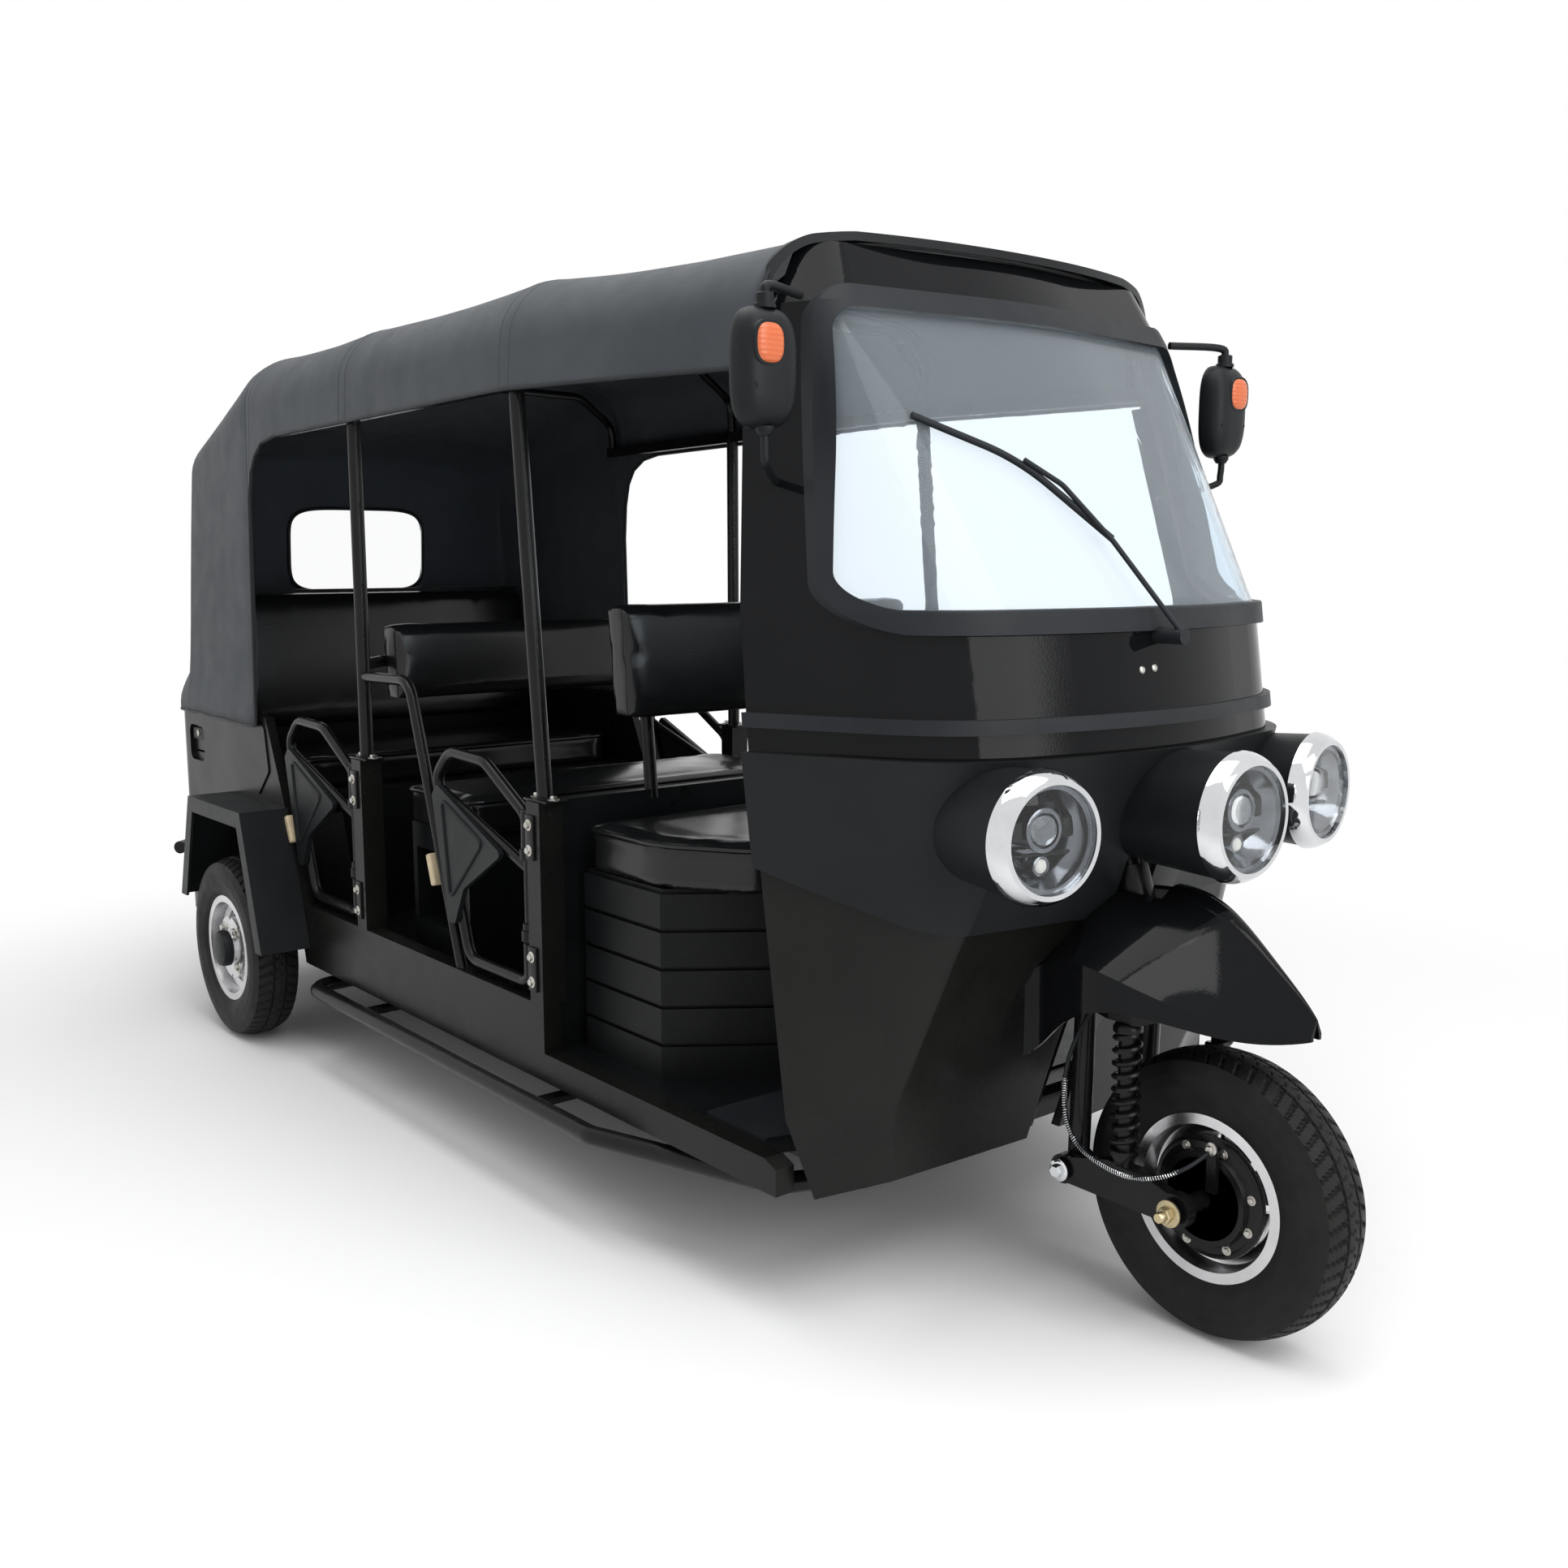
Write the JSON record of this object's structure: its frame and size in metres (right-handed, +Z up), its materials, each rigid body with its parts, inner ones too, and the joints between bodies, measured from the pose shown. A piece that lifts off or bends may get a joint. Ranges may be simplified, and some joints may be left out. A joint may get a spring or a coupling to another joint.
{
  "type": "passenger tricycle",
  "caption": "Open-sided motor tricycle taxi with a panoramic windscreen, canvas canopy, bench seats and tubular half doors",
  "frame": {"origin": "bottom centre of the bounding box, on the ground", "axes": "X forward, Y to the driver's left, Z up"},
  "size_m": [3.613, 1.44, 1.8718],
  "materials": {
    "amber": "amber lens",
    "canvas": "coated charcoal canvas",
    "chrome": "bright chrome",
    "clear": "clear",
    "frame_black": "satin black powder coat",
    "gloss_black": "gloss black enamel",
    "matte_black": "moulded, fine grain",
    "mirror": "silvered",
    "red": "red lens",
    "rim_silver": "silver paint",
    "rubber": "matte rubber",
    "tyre": "road tyre",
    "vinyl": "black vinyl upholstery"
  },
  "bodies": {
    "body": {"belt_strip": "matte_black", "bulkhead": "gloss_black", "canopy_rear": "canvas", "canopy_roof": "canvas", "chassis_frame": "frame_black", "dashboard": "matte_black", "driver_seat_box": "matte_black", "floor_mat": "rubber", "floor_pan": "rubber", "front_apron": "gloss_black", "front_mudguard": "gloss_black", "indicators": "amber", "lamp_bezels": "chrome", "lamp_bowls": "chrome", "lamp_cowl": "matte_black", "lamp_lenses": "clear", "latch_bars": "frame_black", "leaf_springs": "frame_black", "mirror_glasses": "mirror", "mirrors": "matte_black", "quarter_panels": "gloss_black", "rear_axle": "frame_black", "rear_bumper": "frame_black", "rear_panel": "gloss_black", "rear_window": "clear", "roof_cap": "matte_black", "roof_frame": "frame_black", "roof_posts": "frame_black", "seat_backrests": "vinyl", "seat_bases": "matte_black", "seat_cushions": "vinyl", "seat_frames": "frame_black", "side_sills": "gloss_black", "side_steps": "frame_black", "tail_lamps": "red", "wheel_flares": "matte_black", "windscreen_glass": "clear", "windscreen_seal": "rubber", "windscreen_surround": "gloss_black", "wiper": "matte_black"},
    "front_wheel": {"front_tyre": "tyre", "front_rim": "rim_silver"},
    "rear_right_wheel": {"rear_right_tyre": "tyre", "rear_right_rim": "rim_silver"},
    "rear_left_wheel": {"rear_left_tyre": "tyre", "rear_left_rim": "rim_silver"},
    "steering": {"steering_fork": "frame_black", "front_links": "frame_black", "front_shocks": "frame_black", "handlebar": "frame_black", "brake_cable": "matte_black"},
    "mid_right_door": {"mid_right_door_frame": "frame_black", "mid_right_door_panel": "matte_black"},
    "mid_left_door": {"mid_left_door_frame": "frame_black", "mid_left_door_panel": "matte_black"},
    "rear_right_door": {"rear_right_door_frame": "frame_black", "rear_right_door_panel": "matte_black"},
    "rear_left_door": {"rear_left_door_frame": "frame_black", "rear_left_door_panel": "matte_black"}
  },
  "joints": [
    {"name": "steering", "type": "hinge", "parent": "body", "child": "steering", "pos_m": [1.4215, 0, 0.55], "axis": [-0.309, 0, 0.9511], "range_deg": [-38, 38]},
    {"name": "front_wheel_spin", "type": "hinge", "parent": "steering", "child": "front_wheel", "pos_m": [1.5615, 0, 0.245], "axis": [0, 1, 0], "continuous": true},
    {"name": "rear_right_spin", "type": "hinge", "parent": "body", "child": "rear_right_wheel", "pos_m": [-1.1185, -0.65, 0.245], "axis": [0, 1, 0], "continuous": true},
    {"name": "rear_left_spin", "type": "hinge", "parent": "body", "child": "rear_left_wheel", "pos_m": [-1.1185, 0.65, 0.245], "axis": [0, 1, 0], "continuous": true},
    {"name": "mid_right_door_hinge", "type": "hinge", "parent": "body", "child": "mid_right_door", "pos_m": [0.2845, -0.572, 0.6], "axis": [0, 0, 1], "range_deg": [0, 95]},
    {"name": "mid_left_door_hinge", "type": "hinge", "parent": "body", "child": "mid_left_door", "pos_m": [0.2845, 0.572, 0.6], "axis": [0, 0, -1], "range_deg": [0, 95]},
    {"name": "rear_right_door_hinge", "type": "hinge", "parent": "body", "child": "rear_right_door", "pos_m": [-0.5405, -0.572, 0.6], "axis": [0, 0, 1], "range_deg": [0, 95]},
    {"name": "rear_left_door_hinge", "type": "hinge", "parent": "body", "child": "rear_left_door", "pos_m": [-0.5405, 0.572, 0.6], "axis": [0, 0, -1], "range_deg": [0, 95]}
  ]
}
